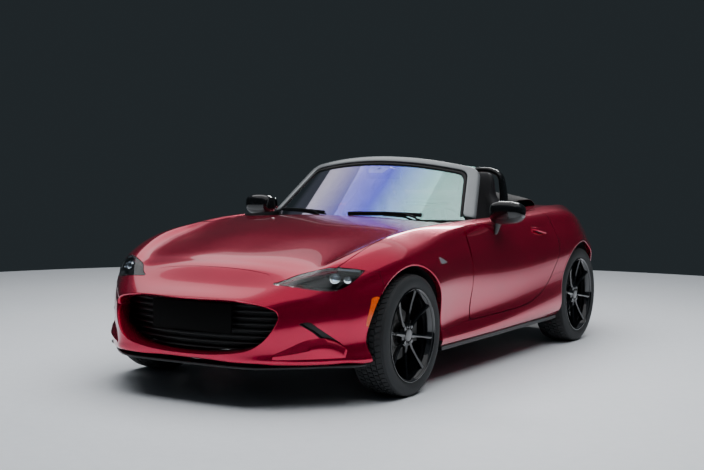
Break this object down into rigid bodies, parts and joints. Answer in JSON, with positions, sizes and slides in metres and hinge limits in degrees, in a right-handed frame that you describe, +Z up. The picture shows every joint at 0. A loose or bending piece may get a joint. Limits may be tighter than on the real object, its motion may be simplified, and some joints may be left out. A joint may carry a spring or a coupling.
{
  "type": "convertible car",
  "caption": "Open two-seat roadster on thin-spoked alloy wheels, with its cloth top folded behind the seats, doors, bonnet and boot lid that open, and wheels that roll and steer",
  "frame": {"origin": "on the ground under the middle of the car's length and width", "axes": "+X to the car's left, +Y to its tail, +Z up"},
  "size_m": [1.876, 3.929, 1.1799],
  "materials": {
    "red": "deep red metallic under clear lacquer",
    "black_gloss": "gloss black",
    "black_trim": "fine-grained black plastic",
    "alloy": "gloss black painted alloy",
    "tyre": "black rubber",
    "glass": "clear laminated glass",
    "lamp": "clear cover over dark reflector",
    "lamp_red": "red lamp cover",
    "leather": "black leather",
    "fabric": "black woven hood cloth",
    "steel": "black chassis paint",
    "iron": "machined cast iron",
    "silver": "cast aluminium",
    "stainless": "stainless steel",
    "plate": "blank black plate"
  },
  "bodies": {
    "body": {"floor_tub": "steel", "front_wings": "red", "rear_quarters": "red", "sills": "red", "front_bumper": "red", "rear_bumper": "red", "grille": "black_trim", "front_splitter": "black_trim", "windscreen_frame": "black_gloss", "windscreen_glass": "glass", "cowl_panel": "black_trim", "wipers": "black_trim", "dashboard": "black_trim", "centre_console": "black_trim", "seats": "leather", "roll_hoops": "black_gloss", "inner_mirror": "black_trim", "rear_deck": "red", "soft_top": "fabric", "front_lamps": "lamp", "tail_lamps": "lamp_red", "engine_block": "silver", "radiator": "black_trim", "exhaust": "stainless", "front_suspension": "iron", "rear_suspension": "iron", "arch_liners": "black_trim", "number_plates": "plate"},
    "bonnet": {"bonnet": "red"},
    "boot_lid": {"boot_lid": "red"},
    "door_left": {"door_left": "red", "mirror_left": "black_gloss"},
    "door_right": {"door_right": "red", "mirror_right": "black_gloss"},
    "steering_wheel": {"steering_wheel": "leather"},
    "knuckle_left": {"knuckle_left": "iron"},
    "knuckle_right": {"knuckle_right": "iron"},
    "wheel_front_left": {"wheel_front_left": "alloy", "tyre_front_left": "tyre"},
    "wheel_front_right": {"wheel_front_right": "alloy", "tyre_front_right": "tyre"},
    "wheel_rear_left": {"wheel_rear_left": "alloy", "tyre_rear_left": "tyre"},
    "wheel_rear_right": {"wheel_rear_right": "alloy", "tyre_rear_right": "tyre"}
  },
  "joints": [
    {"name": "door_left_hinge", "type": "hinge", "parent": "body", "child": "door_left", "pos_m": [0.8, -0.4375, 0.53], "axis": [0, 0, -1], "range_deg": [0, 65]},
    {"name": "door_right_hinge", "type": "hinge", "parent": "body", "child": "door_right", "pos_m": [-0.8, -0.4375, 0.53], "axis": [0, 0, 1], "range_deg": [0, 65]},
    {"name": "bonnet_hinge", "type": "hinge", "parent": "body", "child": "bonnet", "pos_m": [0, -0.5215, 0.812], "axis": [-1, 0, 0], "range_deg": [0, 55]},
    {"name": "boot_hinge", "type": "hinge", "parent": "body", "child": "boot_lid", "pos_m": [0, 1.1615, 0.866], "axis": [1, 0, 0], "range_deg": [0, 70]},
    {"name": "steering_turn", "type": "hinge", "parent": "body", "child": "steering_wheel", "pos_m": [0.35, 0.1625, 0.735], "axis": [0, 0.9272, 0.3746], "range_deg": [-460, 460]},
    {"name": "steer_left", "type": "hinge", "parent": "body", "child": "knuckle_left", "pos_m": [0.6895, -1.1925, 0.308], "axis": [0, 0, 1], "range_deg": [-33, 33]},
    {"name": "steer_right", "type": "hinge", "parent": "body", "child": "knuckle_right", "pos_m": [-0.6895, -1.1925, 0.308], "axis": [0, 0, 1], "range_deg": [-33, 33]},
    {"name": "wheel_front_left_spin", "type": "hinge", "parent": "knuckle_left", "child": "wheel_front_left", "pos_m": [0.7475, -1.1925, 0.308], "axis": [1, 0, 0], "continuous": true},
    {"name": "wheel_front_right_spin", "type": "hinge", "parent": "knuckle_right", "child": "wheel_front_right", "pos_m": [-0.7475, -1.1925, 0.308], "axis": [1, 0, 0], "continuous": true},
    {"name": "wheel_rear_left_spin", "type": "hinge", "parent": "body", "child": "wheel_rear_left", "pos_m": [0.7525, 1.1175, 0.308], "axis": [1, 0, 0], "continuous": true},
    {"name": "wheel_rear_right_spin", "type": "hinge", "parent": "body", "child": "wheel_rear_right", "pos_m": [-0.7525, 1.1175, 0.308], "axis": [1, 0, 0], "continuous": true}
  ],
  "couplings": [
    {"joint": "steer_left", "follows": "steering_turn", "ratio": 0.0714},
    {"joint": "steer_right", "follows": "steering_turn", "ratio": 0.0714}
  ]
}
